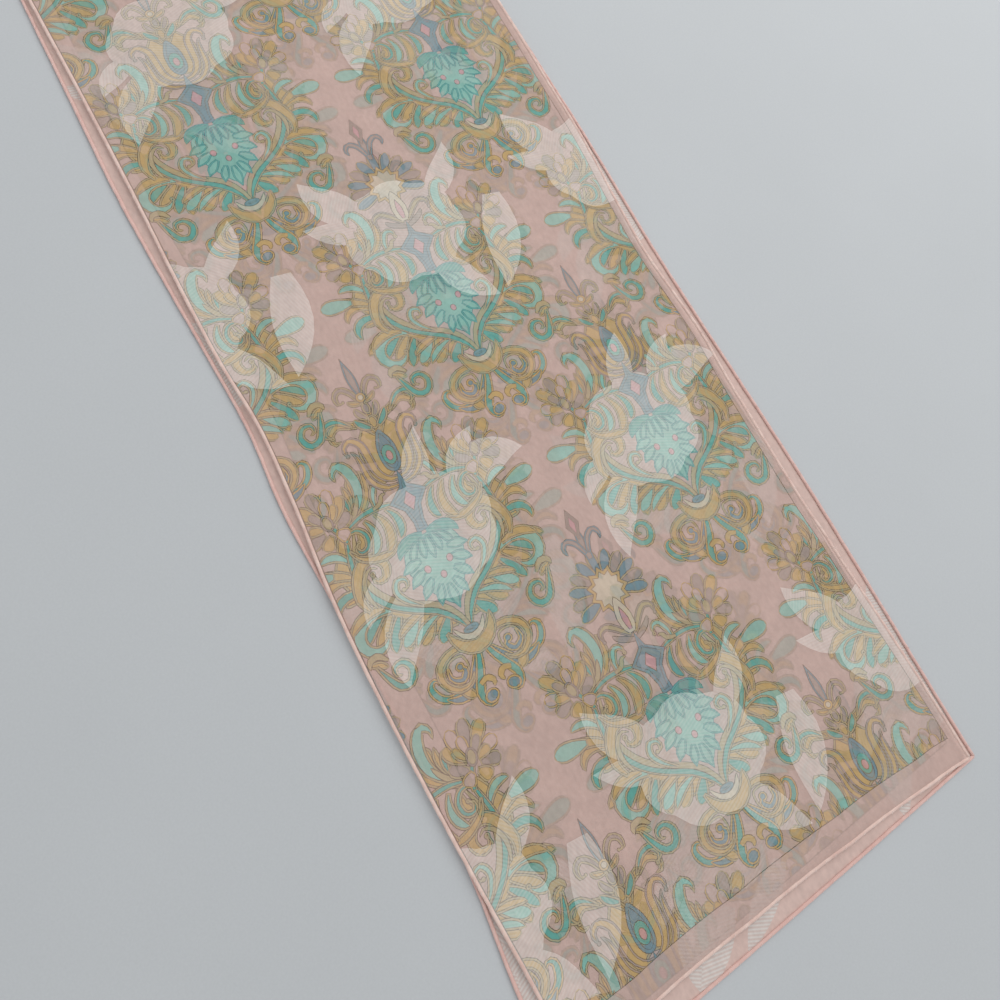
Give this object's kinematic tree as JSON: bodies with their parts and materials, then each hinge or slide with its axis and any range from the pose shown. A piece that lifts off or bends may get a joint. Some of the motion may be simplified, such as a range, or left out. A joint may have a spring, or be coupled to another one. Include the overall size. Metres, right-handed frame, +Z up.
{
  "type": "chiffon scarf",
  "caption": "Long narrow sheer scarf with a figured print, satin leaf patches and rolled hems, folded once across its length and laid flat.",
  "frame": {"origin": "bottom centre of the folded scarf's box, on the surface that it lies on", "axes": "+X across the scarf, +Y along it towards the fold, both hemmed ends at -Y, +Z up"},
  "size_m": [0.292, 0.808, 0.006],
  "materials": {
    "upper_chiffon": "sheer printed chiffon with satin patches",
    "lower_chiffon": "sheer printed chiffon, back side",
    "rolled_hem": "rolled and whipped chiffon edge"
  },
  "bodies": {
    "root": {"lower_panel": "lower_chiffon", "lower_hem_left": "rolled_hem", "lower_hem_right": "rolled_hem", "lower_hem_end": "rolled_hem", "upper_panel": "upper_chiffon", "upper_hem_left": "rolled_hem", "upper_hem_right": "rolled_hem", "upper_hem_end": "rolled_hem", "fold_bend": "upper_chiffon", "fold_hem_left": "rolled_hem", "fold_hem_right": "rolled_hem"}
  },
  "joints": []
}
